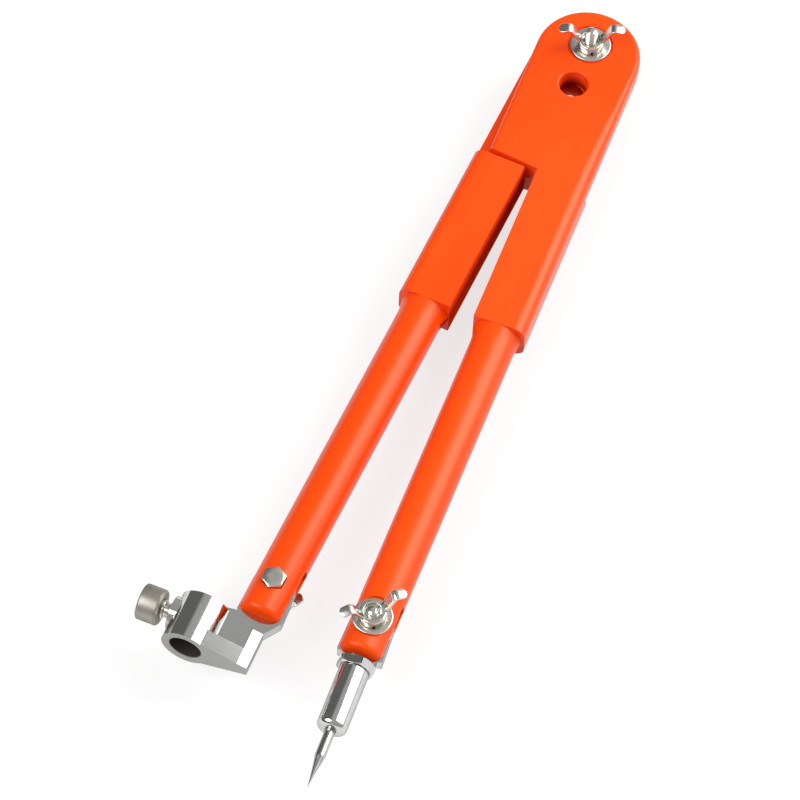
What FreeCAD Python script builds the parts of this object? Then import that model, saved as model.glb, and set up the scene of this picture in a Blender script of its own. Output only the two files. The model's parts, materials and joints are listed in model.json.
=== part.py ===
"""Large two-legged compass: a needle on one leg, a pencil clamp on the other.

Both legs are one moulding, used face up and face down. They turn on a bolt at
the head, and each carries a holder in a forked knee that a wing nut clamps.
Units are millimetres. The origin is the hang hole's axis at the parting plane
between the two head plates, +Y runs up to the head and +Z out of the front.
"""
import FreeCAD, Part
import math
import os

Vector = FreeCAD.Vector
X_AXIS, Y_AXIS, Z_AXIS = Vector(1, 0, 0), Vector(0, 1, 0), Vector(0, 0, 1)

# Head: two plates of half the thickness, one from each leg
head_outer_reach = 20.8
head_inner_reach = 20.0
parting_gap = 0.3
pivot_above_hole = 19.6
head_arc_drop = 4.3
hang_hole_dia = 11.0
hang_hole_round = 1.0
head_edge_round = 2.0
shoulder_edge_round = 5.0

# Legs, measured down from the pivot axis with the legs closed
crotch_drop = 61.5
shoulder_drop = 62.6
swing_gap = 0.4
leg_gap = 0.4
shoulder_end_drop = 132.2
flare_length = 6.5
flare_rings = 4
flare_side_step = 1.2
flare_face_step = 0.1
leg_dia = 17.0
shoulder_cover = 0.25
leg_axis_offset = 10.0
knee_drop = 265.0
leg_end_reach = 14.0
leg_end_round = 2.5

# Fork at the end of each leg and the tongue that turns in it
tongue_thickness = 5.0
tongue_side_gap = 0.1
tongue_top_radius = 8.2
tongue_shoulder_half = 8.7
tongue_shoulder_drop = 14.3
tongue_corner_round = 1.0
knee_swing_gap = 0.3
slot_top_gap = 2.0

# Fasteners
bolt_dia = 5.0
bolt_clearance = 0.1
bolt_end_round = 1.2
knee_bolt_projection = 0.9
pivot_bolt_projection = 5.2
bolt_head_flats = 8.0
bolt_head_height = 3.5
bolt_head_bevel = 30
bolt_head_turn = 30
hex_recess_depth = 2.3
hex_recess_clearance = 0.15
head_seat_depth = 0.8
knee_seat_depth = 1.5
seat_margin = 0.8
head_washer_dia = 16.0
knee_washer_dia = 15.0
washer_thickness = 1.2
washer_clearance = 0.2
spring_washer_dia = 9.2
spring_washer_thickness = 1.2
spring_washer_split = 0.7
spring_washer_turn = 20
stack_gap = 0.05

# Pressed wing nut, measured up from its base
nut_dia = 10.2
nut_height = 2.3
nut_rim_round = 0.5
nut_recess_dia = 6.8
nut_recess_depth = 0.9
nut_clearance = 0.05
wing_span = 25.2
wing_width = 4.0
wing_thickness = 1.2
wing_tip_round = 1.5
wing_foot_reach = 4.0
wing_foot_height = 1.7
wing_bend_reach = 8.3
wing_bend_height = 9.4
wing_tip_height = 8.2

# Needle end, measured down from the knee bolt
collar_flats = 12.8
collar_height = 3.5
collar_turn = 10
collar_bevel = 30
spigot_dia = 7.0
sleeve_dia = 11.4
sleeve_end_drop = 45.0
sleeve_end_wall = 4.5
sleeve_end_round = 2.2
sleeve_clearance = 0.1
needle_dia = 4.0
needle_head_thickness = 1.5
needle_shank_length = 10.8
needle_point_length = 13.0
needle_tip_dia = 0.16
needle_middle_dia = 1.8
needle_clearance = 0.05

# Pencil end, measured from the knee bolt: down, and outwards from the leg's axis
barrel_offset = 19.9
barrel_dia = 18.8
barrel_length = 19.0
holder_bottom_drop = 35.0
pencil_bore_dia = 12.0
bore_chamfer = 0.5
holder_inner_reach = 4.2
holder_inner_half = 2.6
rim_inset = 0.6
bottom_rim_height = 6.7
side_rim_width = 3.7
side_rim_top_drop = 20.0
boss_dia = 12.6
boss_height = 0.8

# Thumb screw
screw_drop = 23.3
screw_dia = 6.0
screw_clearance = 0.05
screw_tip_retreat = 0.3
knob_dia = 13.8
knob_length = 8.5
knob_chamfer = 0.6
knob_shoulder_length = 0.7
knob_shoulder_drop = 0.7
knob_gap = 3.7
knob_socket_depth = 6.0
knob_fit = 0.02
screw_neck_dia = 7.6
screw_neck_length = 0.9

# How the pieces stand at rest, in degrees
leg_open_angle = 4.08
needle_lean = 1.2
pencil_lean = 2.2
pivot_wing_angle = 20.0
needle_wing_angle = 41.0
pencil_wing_angle = -58.0

# Places worked out from the sizes above
half_width = (head_outer_reach + head_inner_reach) / 2
head_axis_x = (head_outer_reach - head_inner_reach) / 2
hex_corner = 1 / math.sqrt(3)
leg_radius = leg_dia / 2
half_thickness = leg_radius + shoulder_cover
pivot_y = pivot_above_hole
knee_y = pivot_y - knee_drop
tongue_half = tongue_thickness / 2
clear_drop = knee_swing_gap + leg_end_round + math.hypot(
    leg_end_reach - leg_end_round, leg_radius - leg_end_round)
washer_hole_radius = bolt_dia / 2 + washer_clearance
stack_height = washer_thickness + spring_washer_thickness + 3 * stack_gap


def face_of(*edges):
    """Closed planar face bounded by edges given in order."""
    return Part.Face(Part.Wire(list(edges)))


def polygon(points):
    """Planar face with straight sides through points."""
    return Part.Face(Part.makePolygon([Vector(*p) for p in points + points[:1]]))


def arc(start, middle, end):
    """Circular edge through three points."""
    return Part.Arc(Vector(*start), Vector(*middle), Vector(*end)).toShape()


def line(start, end):
    """Straight edge between two points."""
    return Part.makeLine(Vector(*start), Vector(*end))


def box(x_range, y_range, z_range):
    """Box between two values on each axis."""
    low = Vector(x_range[0], y_range[0], z_range[0])
    size = Vector(x_range[1], y_range[1], z_range[1]) - low
    return Part.makeBox(size.x, size.y, size.z, low)


def rod(radius, start, end):
    """Cylinder from one point to another."""
    start, end = Vector(*start), Vector(*end)
    return Part.makeCylinder(radius, (end - start).Length, start, end - start)


def hex_prism(across_flats, start, end, turn=0.0):
    """Hexagonal prism along Z between two heights."""
    radius = across_flats * hex_corner
    corners = [math.radians(60 * side + turn) for side in range(6)]
    points = [(radius * math.cos(a), radius * math.sin(a), start) for a in corners]
    return polygon(points).extrude(Vector(0, 0, end - start))


def spun(profile, origin, axis):
    """Solid of revolution of a face about an axis."""
    return profile.revolve(Vector(*origin), axis, 360)


def edges_where(shape, test):
    """Edges of a shape whose middle point passes a test."""
    found = []
    for edge in shape.Edges:
        middle = edge.valueAt((edge.FirstParameter + edge.LastParameter) / 2)
        if test(middle, edge):
            found.append(edge)
    return found


def near(value, target):
    """True where two lengths are the same to a micrometre."""
    return abs(value - target) < 1e-3


def fused(*shapes):
    """One clean solid from several that meet."""
    return shapes[0].multiFuse(list(shapes[1:])).removeSplitter()


def rounded(shape, radii):
    """The shape with edges rounded, each by its number, start radius and end radius."""
    document = FreeCAD.newDocument()
    blank = document.addObject("Part::Feature")
    blank.Shape = shape
    fillet = document.addObject("Part::Fillet")
    fillet.Base = blank
    fillet.Edges = radii
    document.recompute()
    result = fillet.Shape.copy()
    FreeCAD.closeDocument(document.Name)
    return result


def turned_over(shape):
    """The shape turned face down about the Y axis."""
    result = shape.copy()
    result.rotate(Vector(0, 0, 0), Y_AXIS, 180)
    return result


def moved(shape, x, y, angle=0.0):
    """The shape turned about its own Z axis, then moved in the plane."""
    result = shape.copy()
    result.rotate(Vector(0, 0, 0), Z_AXIS, angle)
    result.translate(Vector(x, y, 0))
    return result


def opened(shape):
    """A piece of the closed pencil leg, swung out to the rest pose."""
    result = shape.copy()
    result.rotate(Vector(0, pivot_y, 0), Z_AXIS, -leg_open_angle)
    return result


# Legs ---------------------------------------------------------------------------

def leg_blank():
    """Head plate and shoulder, rounded along every outer edge."""
    arc_y = pivot_y - head_arc_drop
    corner_y = pivot_y - math.sqrt((shoulder_drop - swing_gap) ** 2 - head_inner_reach ** 2)
    crotch_y = pivot_y - crotch_drop
    shoulder_y = pivot_y - shoulder_drop
    end_y = pivot_y - shoulder_end_drop
    inner_x = leg_gap / 2
    plane = parting_gap / 2
    left, right = -head_inner_reach, head_outer_reach
    outline = face_of(
        arc((left, arc_y, plane), (head_axis_x, arc_y + half_width, plane),
            (right, arc_y, plane)),
        line((right, arc_y, plane), (right, shoulder_y, plane)),
        line((right, shoulder_y, plane), (right, end_y, plane)),
        line((right, end_y, plane), (inner_x, end_y, plane)),
        line((inner_x, end_y, plane), (inner_x, crotch_y, plane)),
        line((inner_x, crotch_y, plane), (left, corner_y, plane)),
        line((left, corner_y, plane), (left, arc_y, plane)))
    front = outline.extrude(Vector(0, 0, half_thickness - plane))
    back = box((inner_x, right), (end_y, shoulder_y), (-half_thickness, plane))
    blank = front.fuse(back)
    radii = []
    for number, edge in enumerate(blank.Edges, start=1):
        middle = edge.valueAt((edge.FirstParameter + edge.LastParameter) / 2)
        if not near(abs(middle.z), half_thickness):
            continue
        round_head = near(middle.sub(Vector(head_axis_x, arc_y, middle.z)).Length, half_width)
        if round_head or near(middle.x, left):
            radii.append((number, head_edge_round, head_edge_round))
        elif near(middle.x, right) and middle.y > shoulder_y:
            ends = sorted(((vertex.Y, at) for at, vertex in enumerate(edge.Vertexes)))
            first_is_high = ends[-1][1] == 0
            pair = (head_edge_round, shoulder_edge_round)
            radii.append((number, *(pair if first_is_high else pair[::-1])))
        elif near(middle.x, right):
            radii.append((number, shoulder_edge_round, shoulder_edge_round))
    return rounded(blank, radii)


def flare():
    """Hollow flare that widens the round leg to the sides of its shoulder."""
    top_y = pivot_y - shoulder_end_drop
    face_step = half_thickness - flare_face_step - leg_radius
    rings = []
    for number in range(flare_rings):
        share = number / (flare_rings - 1)
        stretch = FreeCAD.Matrix()
        stretch.scale(leg_radius + flare_side_step * share ** 2, 1, leg_radius + face_step * share ** 2)
        ring = Part.makeCircle(1, Vector(0, 0, 0), Y_AXIS).transformGeometry(stretch)
        ring.translate(Vector(leg_axis_offset, top_y - flare_length * (1 - share), 0))
        rings.append(Part.Wire(ring.Edges))
    return Part.makeLoft(rings, True)


def round_leg():
    """Round leg with a rounded end."""
    end_y = knee_y - leg_end_reach
    leg = rod(leg_radius, (leg_axis_offset, end_y, 0),
              (leg_axis_offset, pivot_y - shoulder_end_drop, 0))
    rim = edges_where(leg, lambda middle, edge: near(middle.y, end_y) and edge.Length > leg_dia)
    return leg.makeFillet(leg_end_round, rim)


def knee_cuts():
    """Fork slot, bolt hole, washer seat and bolt head recess at a leg's end."""
    reach = leg_radius + 1
    slot_half = tongue_half + tongue_side_gap
    slot_top = tongue_top_radius + slot_top_gap
    slot = box((-reach, reach), (-leg_end_reach - 1, slot_top), (-slot_half, slot_half))
    hole = rod(bolt_dia / 2 + bolt_clearance, (0, 0, -reach), (0, 0, reach))
    seat = rod(knee_washer_dia / 2 + seat_margin, (0, 0, leg_radius - knee_seat_depth),
               (0, 0, leg_radius + knee_seat_depth))
    recess = hex_prism(bolt_head_flats + 2 * hex_recess_clearance,
                       -leg_radius - 1, hex_recess_depth - leg_radius, bolt_head_turn)
    return [moved(cut, leg_axis_offset, knee_y) for cut in (slot, hole, seat, recess)]


def head_cuts():
    """Pivot hole, washer seat and hang hole of the head plate."""
    low, high = -half_thickness, half_thickness + 1
    hole = rod(bolt_dia / 2 + bolt_clearance, (0, pivot_y, low), (0, pivot_y, high))
    seat = rod(head_washer_dia / 2 + seat_margin, (0, pivot_y, half_thickness - head_seat_depth),
               (0, pivot_y, high))
    hang = rod(hang_hole_dia / 2, (0, 0, low), (0, 0, high))
    return [hole, seat, hang]


def leg_moulding():
    """One leg, face up, closed."""
    blank = leg_blank()
    inner_side = box((leg_gap / 2, head_outer_reach), (-2 * knee_drop, pivot_y - shoulder_end_drop),
                     (-half_thickness, half_thickness))
    leg = fused(blank, round_leg(), flare().common(inner_side))
    for cut in head_cuts() + knee_cuts():
        leg = leg.cut(cut)

    def hang_hole_mouth(middle, edge):
        at_rim = near(math.hypot(middle.x, middle.y), hang_hole_dia / 2)
        return at_rim and near(middle.z, half_thickness)

    return leg.makeFillet(hang_hole_round, edges_where(leg, hang_hole_mouth))


# Fasteners, each about its own Z axis with the clamped faces' heights given ------

def hex_bolt(seat_z, tip_z):
    """Hexagon bolt: head below its seat, shank up to a rounded end."""
    radius = bolt_dia / 2
    head_low = seat_z - bolt_head_height
    head = hex_prism(bolt_head_flats, head_low, seat_z, bolt_head_turn)
    corner = bolt_head_flats * hex_corner
    bevel_start = bolt_head_flats / 2
    bevel = math.tan(math.radians(bolt_head_bevel)) * (corner - bevel_start)
    profile = polygon([
        (0, 0, head_low), (bevel_start, 0, head_low), (corner, 0, head_low + bevel),
        (corner, 0, seat_z), (0, 0, seat_z)])
    head = head.common(spun(profile, (0, 0, 0), Z_AXIS))
    shank = rod(radius, (0, 0, seat_z), (0, 0, tip_z))
    tip = edges_where(shank, lambda middle, edge: near(middle.z, tip_z) and edge.Length > 1)
    return fused(head, shank.makeFillet(bolt_end_round, tip))


def flat_washer(base_z, outer_dia):
    """Large flat washer on a seat at base_z."""
    top_z = base_z + washer_thickness
    ring = rod(outer_dia / 2, (0, 0, base_z), (0, 0, top_z))
    return ring.cut(rod(washer_hole_radius, (0, 0, base_z - 1), (0, 0, top_z + 1)))


def spring_washer(base_z):
    """Split spring washer, clamped flat."""
    top_z = base_z + spring_washer_thickness
    outer = spring_washer_dia / 2
    ring = rod(outer, (0, 0, base_z), (0, 0, top_z))
    ring = ring.cut(rod(washer_hole_radius, (0, 0, base_z - 1), (0, 0, top_z + 1)))
    split = box((-spring_washer_split / 2, spring_washer_split / 2), (-outer - 1, 0),
                (base_z - 1, top_z + 1))
    split.rotate(Vector(0, 0, 0), Z_AXIS, spring_washer_turn)
    return ring.cut(split)


def strip_section(points, thickness):
    """Face in the XZ plane: a bent strip of even thickness along a centre line."""
    sides = ([], [])
    for index, (x, z) in enumerate(points):
        before = points[max(index - 1, 0)]
        after = points[min(index + 1, len(points) - 1)]
        heading_in = math.atan2(z - before[1], x - before[0]) if index else None
        heading_out = math.atan2(after[1] - z, after[0] - x) if after != (x, z) else heading_in
        heading_in = heading_out if heading_in is None else heading_in
        normal = (heading_in + heading_out) / 2 + math.pi / 2
        half = thickness / 2 / math.cos((heading_out - heading_in) / 2)
        dx, dz = half * math.cos(normal), half * math.sin(normal)
        sides[0].append((x + dx, 0, z + dz))
        sides[1].append((x - dx, 0, z - dz))
    return polygon(sides[0] + sides[1][::-1])


def wing_nut(base_z):
    """Pressed wing nut: round body with a recess about its bore, and two bent strip wings."""
    radius = nut_dia / 2
    top_z = base_z + nut_height
    body = rod(radius, (0, 0, base_z), (0, 0, top_z))
    rim = edges_where(body, lambda middle, edge: near(middle.z, top_z) and edge.Length > radius)
    body = body.makeFillet(nut_rim_round, rim)
    centre_line = [
        (bolt_dia / 2 + wing_thickness, base_z + wing_foot_height / 2),
        (wing_foot_reach, base_z + wing_foot_height),
        (wing_bend_reach, base_z + wing_bend_height),
        (wing_span / 2, base_z + wing_tip_height)]
    strip = strip_section(centre_line, wing_thickness).extrude(Vector(0, wing_width, 0))
    strip.translate(Vector(0, -wing_width / 2, 0))
    trimmer = box((-wing_span / 2, wing_span / 2), (-wing_width / 2, wing_width / 2),
                  (base_z, base_z + wing_span))
    upright = edges_where(trimmer, lambda middle, edge: near(
        abs(middle.x), wing_span / 2) and near(abs(middle.y), wing_width / 2))
    wing = strip.common(trimmer.makeFillet(wing_tip_round, upright))
    other = wing.copy()
    other.rotate(Vector(0, 0, 0), Z_AXIS, 180)
    bore = rod(bolt_dia / 2 + nut_clearance, (0, 0, base_z - 1), (0, 0, top_z + 1))
    recess = rod(nut_recess_dia / 2, (0, 0, top_z - nut_recess_depth), (0, 0, top_z + 1))
    return fused(body, wing, other).cut(bore).cut(recess)


def clamp_set(seat_z, head_seat_z, washer_dia, bolt_projection, wing_angle):
    """Bolt, washer, spring washer and wing nut that clamp one joint."""
    washer_z = seat_z + stack_gap
    spring_z = washer_z + washer_thickness + stack_gap
    nut_z = seat_z + stack_height
    nut = wing_nut(nut_z)
    nut.rotate(Vector(0, 0, 0), Z_AXIS, wing_angle)
    return {
        "bolt": hex_bolt(head_seat_z, nut_z + nut_height + bolt_projection),
        "washer": flat_washer(washer_z, washer_dia),
        "spring_washer": spring_washer(spring_z),
        "wing_nut": nut,
    }


# Holders, each about its knee bolt with its axis down -Y -------------------------

def tongue():
    """Plate that turns in a leg's fork: round top, straight flanks, square foot."""
    foot = Vector(tongue_shoulder_half, -tongue_shoulder_drop, 0)
    reach = foot.Length
    along = foot * (tongue_top_radius ** 2 / reach ** 2)
    across = Vector(-foot.y, foot.x, 0)
    across *= tongue_top_radius * math.sqrt(reach ** 2 - tongue_top_radius ** 2) / reach ** 2
    touch = along + across
    right, left = (touch.x, touch.y, 0), (-touch.x, touch.y, 0)
    foot_right, foot_left = (foot.x, foot.y, 0), (-foot.x, foot.y, 0)
    outline = face_of(
        arc(left, (0, tongue_top_radius, 0), right), line(right, foot_right),
        line(foot_right, foot_left), line(foot_left, left))
    plate = outline.extrude(Vector(0, 0, tongue_thickness))
    plate.translate(Vector(0, 0, -tongue_half))
    corners = edges_where(plate, lambda middle, edge: near(
        abs(middle.x), foot.x) and near(middle.y, foot.y) and near(middle.z, 0))
    plate = plate.makeFillet(tongue_corner_round, corners)
    return plate


def knee_hole():
    """Hole for the knee bolt through a tongue."""
    return rod(bolt_dia / 2 + bolt_clearance, (0, 0, -tongue_thickness), (0, 0, tongue_thickness))


def needle_holder():
    """Tongue, neck, hexagonal collar and spigot in one casting."""
    collar_top = -clear_drop
    collar_low = collar_top - collar_height
    half_flats = collar_flats / 2
    corner = collar_flats * hex_corner
    slope = (corner - half_flats) * math.tan(math.radians(collar_bevel))
    neck = box((-half_flats, half_flats), (collar_top - 1, 1 - tongue_shoulder_drop),
               (-tongue_half, tongue_half))
    collar = hex_prism(collar_flats, -collar_top, -collar_low, collar_turn)
    collar.rotate(Vector(0, 0, 0), X_AXIS, 90)
    bevels = spun(polygon([
        (0, collar_top, 0), (half_flats, collar_top, 0), (corner, collar_top - slope, 0),
        (corner, collar_low + slope, 0), (half_flats, collar_low, 0), (0, collar_low, 0)]),
        (0, 0, 0), Y_AXIS)
    spigot = rod(spigot_dia / 2, (0, collar_top, 0), (0, needle_head_top(), 0))
    return fused(tongue(), neck, collar.common(bevels), spigot).cut(knee_hole())


def needle_head_top():
    """Height of the top of the needle's head, trapped in the sleeve's end."""
    return -(sleeve_end_drop - sleeve_end_wall) + stack_gap + needle_head_thickness


def needle_sleeve():
    """Round sleeve that screws over the spigot and traps the needle's head."""
    top = -(clear_drop + collar_height + stack_gap)
    low = -sleeve_end_drop
    body = rod(sleeve_dia / 2, (0, top, 0), (0, low, 0))
    rim = edges_where(body, lambda middle, edge: near(middle.y, low) and edge.Length > sleeve_dia)
    body = body.makeFillet(sleeve_end_round, rim)
    hollow = rod(spigot_dia / 2 + sleeve_clearance, (0, top + 1, 0), (0, low + sleeve_end_wall, 0))
    hole = rod(needle_dia / 2 + needle_clearance, (0, top, 0), (0, low - 1, 0))
    return body.cut(hollow).cut(hole)


def needle():
    """Steel pin with a flat head and a long, slightly hollow-ground point."""
    top = needle_head_top()
    head_low = top - needle_head_thickness
    point_top = -(sleeve_end_drop + needle_shank_length)
    tip = point_top - needle_point_length
    radius = needle_dia / 2
    profile = face_of(
        line((0, top, 0), (spigot_dia / 2, top, 0)),
        line((spigot_dia / 2, top, 0), (spigot_dia / 2, head_low, 0)),
        line((spigot_dia / 2, head_low, 0), (radius, head_low, 0)),
        line((radius, head_low, 0), (radius, point_top, 0)),
        arc((radius, point_top, 0), (needle_middle_dia / 2, (point_top + tip) / 2, 0),
            (needle_tip_dia / 2, tip, 0)),
        line((needle_tip_dia / 2, tip, 0), (0, tip, 0)),
        line((0, tip, 0), (0, top, 0)))
    return spun(profile, (0, 0, 0), Y_AXIS)


def rim_section(y):
    """Face across the pencil holder: from the barrel's flank, tapering to its inner end."""
    shoulder = barrel_dia / 2 - rim_inset
    start, end = -barrel_offset, holder_inner_reach
    return polygon([
        (start, y, -shoulder), (end, y, -holder_inner_half),
        (end, y, holder_inner_half), (start, y, shoulder)])


def pencil_holder():
    """Clamp barrel, ribbed web and tongue in one casting."""
    low = -holder_bottom_drop
    barrel_top = low + barrel_length
    centre = -barrel_offset
    inner = holder_inner_reach
    barrel = rod(barrel_dia / 2, (centre, low, 0), (centre, barrel_top, 0))
    rims = rim_section(low).extrude(Vector(0, holder_bottom_drop - side_rim_top_drop, 0))
    window = box((centre, inner - side_rim_width), (low + bottom_rim_height, -side_rim_top_drop),
                 (-half_thickness, half_thickness))
    rims = rims.cut(window)
    web_outline = face_of(
        line((inner, low, 0), (inner, -side_rim_top_drop, 0)),
        line((inner, -side_rim_top_drop, 0), (tongue_top_radius, -tongue_shoulder_drop, 0)),
        line((tongue_top_radius, -tongue_shoulder_drop, 0),
             (-tongue_shoulder_half, -tongue_shoulder_drop, 0)),
        line((-tongue_shoulder_half, -tongue_shoulder_drop, 0), (centre, barrel_top, 0)),
        line((centre, barrel_top, 0), (centre, low, 0)),
        line((centre, low, 0), (inner, low, 0)))
    web = web_outline.extrude(Vector(0, 0, tongue_thickness))
    web.translate(Vector(0, 0, -tongue_half))
    boss_face = centre - barrel_dia / 2 - boss_height
    boss = rod(boss_dia / 2, (boss_face, -screw_drop, 0), (centre, -screw_drop, 0))
    casting = fused(tongue(), web, rims, barrel, boss)
    bore_radius = pencil_bore_dia / 2
    bore = rod(bore_radius, (centre, low - 1, 0), (centre, barrel_top + 1, 0))
    mouths = [
        Part.makeCone(bore_radius + bore_chamfer, bore_radius, bore_chamfer,
                      Vector(centre, y, 0), Vector(0, way, 0))
        for y, way in ((low, 1), (barrel_top, -1))]
    screw_hole = rod(screw_dia / 2 + screw_clearance, (boss_face - 1, -screw_drop, 0),
                     (centre, -screw_drop, 0))
    for cut in [bore, screw_hole, knee_hole()] + mouths:
        casting = casting.cut(cut)
    return casting


def knob_face_x():
    """Inner face of the thumb screw's knob."""
    return -barrel_offset - barrel_dia / 2 - boss_height - knob_gap


def thumb_screw():
    """Threaded shank with a neck that seats on the knob."""
    face = knob_face_x()
    tip = -barrel_offset - pencil_bore_dia / 2 - screw_tip_retreat
    shank = rod(screw_dia / 2, (face - knob_socket_depth, -screw_drop, 0), (tip, -screw_drop, 0))
    neck = rod(screw_neck_dia / 2, (face, -screw_drop, 0), (face + screw_neck_length, -screw_drop, 0))
    return fused(shank, neck)


def thumb_screw_knob():
    """Round knob with bevelled rims and a blind socket for the shank."""
    face = knob_face_x()
    outer = face - knob_length
    radius = knob_dia / 2
    shoulder = face - knob_shoulder_length
    profile = polygon([
        (face, -screw_drop, 0), (face, radius - knob_shoulder_drop - screw_drop, 0),
        (shoulder, radius - screw_drop, 0), (outer + knob_chamfer, radius - screw_drop, 0),
        (outer, radius - knob_chamfer - screw_drop, 0), (outer, -screw_drop, 0)])
    knob = spun(profile, (0, -screw_drop, 0), X_AXIS)
    socket = rod(screw_dia / 2 + knob_fit, (face - knob_socket_depth - knob_fit, -screw_drop, 0),
                 (face + 1, -screw_drop, 0))
    return knob.cut(socket)


# Assembly -----------------------------------------------------------------------

def pivot_pieces():
    """Fasteners of the head: the bolt's head bears on a second washer at the back."""
    seat_z = half_thickness - head_seat_depth
    back_stack = washer_thickness + 2 * stack_gap
    pieces = clamp_set(seat_z, -(seat_z + back_stack), head_washer_dia, pivot_bolt_projection,
                       pivot_wing_angle)
    pieces["back_washer"] = turned_over(flat_washer(seat_z + stack_gap, head_washer_dia))
    return {f"pivot_{name}": moved(shape, 0, pivot_y) for name, shape in pieces.items()}


def knee_pieces(prefix, wing_angle):
    """Fasteners of one knee on the face-up leg."""
    seat_z = leg_radius - knee_seat_depth
    head_seat_z = hex_recess_depth - leg_radius
    pieces = clamp_set(seat_z, head_seat_z, knee_washer_dia, knee_bolt_projection, wing_angle)
    return {f"{prefix}_{name}": moved(shape, leg_axis_offset, knee_y) for name, shape in pieces.items()}


def needle_side():
    """Every piece on the needle leg."""
    pieces = {"needle_leg": leg_moulding()}
    pieces.update(knee_pieces("needle_knee", needle_wing_angle))
    for name, shape in (("needle_holder", needle_holder()),
                        ("needle_sleeve", needle_sleeve()), ("needle", needle())):
        pieces[name] = moved(shape, leg_axis_offset, knee_y, needle_lean)
    return pieces


def pencil_side():
    """Every piece on the pencil leg, swung out to the rest pose."""
    pieces = {"pencil_leg": turned_over(leg_moulding())}
    for name, shape in knee_pieces("pencil_knee", pencil_wing_angle).items():
        pieces[name] = turned_over(shape)
    for name, shape in (("pencil_holder", pencil_holder()), ("thumb_screw", thumb_screw()),
                        ("thumb_screw_knob", thumb_screw_knob())):
        pieces[name] = moved(shape, -leg_axis_offset, knee_y, pencil_lean)
    return {name: opened(shape) for name, shape in pieces.items()}


def main():
    """Write one STEP file for each piece."""
    os.makedirs("parts", exist_ok=True)
    pieces = {**needle_side(), **pencil_side(), **pivot_pieces()}
    for name, shape in pieces.items():
        solids = shape.Solids
        print(f"{name}: {len(solids)} solid, {shape.Volume:.0f} mm3, valid {shape.isValid()}")
        solids[0].exportStep(f"parts/{name}.step")


main()
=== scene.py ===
"""Two-legged compass with a needle and a pencil clamp: the visual model.

The pieces' sizes are in millimetres, which Placement and MM turn into the frame's metres.
The studio's are in metres.
"""
import json
import logging
import math
from dataclasses import dataclass, field
from enum import Enum

import bmesh
import bpy
from mathutils import Matrix, Vector


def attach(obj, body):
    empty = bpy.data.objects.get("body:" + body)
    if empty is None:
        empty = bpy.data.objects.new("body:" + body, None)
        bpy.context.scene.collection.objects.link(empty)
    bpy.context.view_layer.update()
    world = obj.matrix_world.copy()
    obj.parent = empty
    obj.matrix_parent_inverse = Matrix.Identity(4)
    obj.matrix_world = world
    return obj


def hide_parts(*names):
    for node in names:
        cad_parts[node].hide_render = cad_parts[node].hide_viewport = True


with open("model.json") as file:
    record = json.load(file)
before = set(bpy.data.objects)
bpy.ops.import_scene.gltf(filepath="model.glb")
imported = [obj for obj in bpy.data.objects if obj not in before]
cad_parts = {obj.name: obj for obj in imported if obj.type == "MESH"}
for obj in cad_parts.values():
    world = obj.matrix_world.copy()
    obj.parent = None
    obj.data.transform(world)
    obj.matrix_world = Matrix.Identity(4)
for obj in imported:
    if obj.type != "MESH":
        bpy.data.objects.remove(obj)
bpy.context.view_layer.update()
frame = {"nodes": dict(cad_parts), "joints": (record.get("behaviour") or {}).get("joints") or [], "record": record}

MM = 0.001
# Name of the mesh attribute that holds how much shade is painted on each face corner.
PAINTED_SHADE = "painted_shade_depth"
UP = Vector((0, 0, 1))
LOG = logging.getLogger("compass")


# Shader arithmetic --------------------------------------------------------------

class Value:
    """One output socket of a material, with arithmetic that adds Math nodes."""

    def __init__(self, shader: "Shader", socket: bpy.types.NodeSocket | None) -> None:
        """Wrap a socket of a shader."""
        self.shader = shader
        self.socket = socket

    def _maths(self, operation: str, first: "Value | float", second: "Value | float") -> "Value":
        """Join two values by one Math node."""
        return self.shader.node("ShaderNodeMath", {"operation": operation}, {0: first, 1: second})

    def __add__(self, other: "Value | float") -> "Value":
        """Sum."""
        return self._maths("ADD", self, other)

    __radd__ = __add__

    def __mul__(self, other: "Value | float") -> "Value":
        """Product."""
        return self._maths("MULTIPLY", self, other)

    __rmul__ = __mul__

    def __sub__(self, other: "Value | float") -> "Value":
        """Difference."""
        return self._maths("SUBTRACT", self, other)

    def __rsub__(self, other: "Value | float") -> "Value":
        """Reflected difference, as in 1 - mask."""
        return self._maths("SUBTRACT", other, self)


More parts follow.
